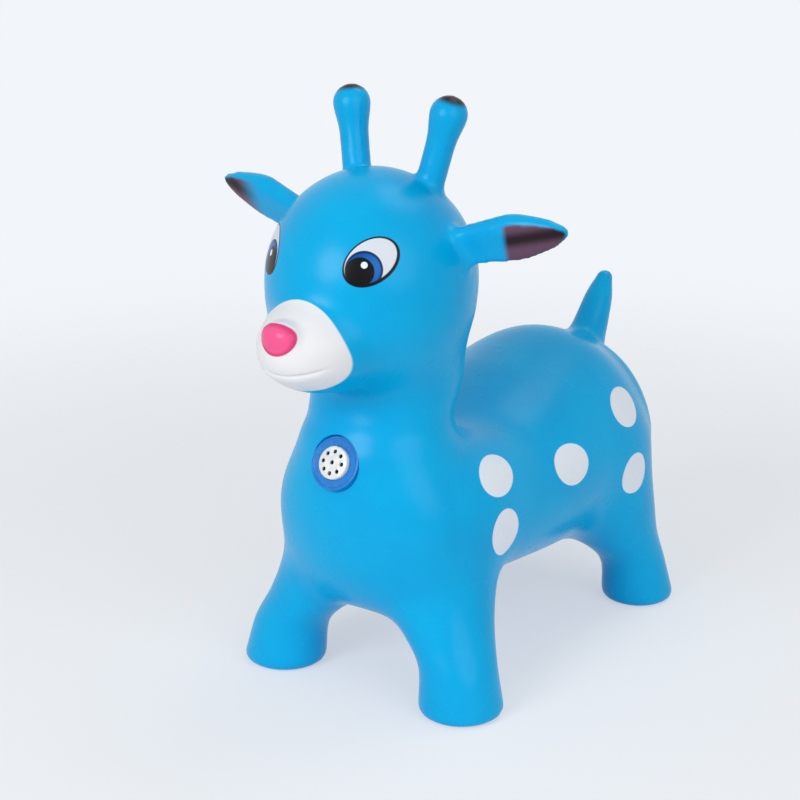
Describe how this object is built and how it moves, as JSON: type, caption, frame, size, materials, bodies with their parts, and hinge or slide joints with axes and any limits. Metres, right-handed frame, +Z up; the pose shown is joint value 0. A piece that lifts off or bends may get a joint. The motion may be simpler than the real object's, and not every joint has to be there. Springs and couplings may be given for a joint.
{
  "type": "inflatable hopper toy",
  "caption": "Inflatable ride-on hopper animal with short legs, knobbed horn handles, ears, an upright tail, and a press-button sound module in its chest.",
  "frame": {"origin": "middle of the outline on the floor under the four feet", "axes": "+Z up; the animal faces -Y; its left side is +X"},
  "size_m": [0.3762, 0.5656, 0.5557],
  "materials": {
    "skin_vinyl": "soft vinyl, satin gloss, with painted eyes, muzzle, nose, spots and tips",
    "plug_plastic": "soft white moulding",
    "bezel_plastic": "dark blue moulding",
    "button_plastic": "white moulding",
    "case_plastic": "light grey moulding",
    "board_laminate": "green solder mask",
    "chip_resin": "black resin blob",
    "switch_plastic": "black moulding",
    "plunger_plastic": "red moulding",
    "spring_steel": "bright wire",
    "speaker_steel": "plated pressing",
    "cone_film": "black film",
    "magnet_steel": "plated magnet",
    "wire_red": "insulated lead",
    "wire_black": "insulated lead",
    "cell_steel": "bright cell can",
    "screw_steel": "zinc plated",
    "contact_brass": "plated strip"
  },
  "bodies": {
    "toy": {"skin": "skin_vinyl", "sound_bezel": "bezel_plastic", "sound_case": "case_plastic", "battery_door": "case_plastic", "circuit_board": "board_laminate", "sound_chip": "chip_resin", "switch_body": "switch_plastic", "return_spring": "spring_steel", "speaker_frame": "speaker_steel", "speaker_cone": "cone_film", "speaker_magnet": "magnet_steel", "speaker_wire_red": "wire_red", "speaker_wire_black": "wire_black", "battery_cell_1": "cell_steel", "bezel_screw_1": "screw_steel", "battery_cell_2": "cell_steel", "bezel_screw_2": "screw_steel", "battery_cell_3": "cell_steel", "bezel_screw_3": "screw_steel", "door_screw_1": "screw_steel", "door_screw_2": "screw_steel", "battery_link_front": "contact_brass", "battery_link_rear": "contact_brass", "battery_terminal_positive": "contact_brass", "battery_terminal_negative": "contact_brass"},
    "button": {"sound_button": "button_plastic"},
    "plunger": {"switch_plunger": "plunger_plastic"},
    "plug": {"air_plug": "plug_plastic"}
  },
  "joints": [
    {"name": "button_press", "type": "slide", "parent": "toy", "child": "button", "axis": [0, 0.8988, -0.4384], "range_m": [0, 0.002], "stiffness_N_per_m": 1200, "springref_m": -0.001, "deforming": ["return_spring"]},
    {"name": "plunger_press", "type": "slide", "parent": "toy", "child": "plunger", "axis": [0, 0.8988, -0.4384], "range_m": [0, 0.002]},
    {"name": "plug_pull", "type": "slide", "parent": "toy", "child": "plug", "axis": [0, 0, -1], "range_m": [0, 0.03]}
  ],
  "couplings": [
    {"joint": "plunger_press", "follows": "button_press", "ratio": 1}
  ]
}
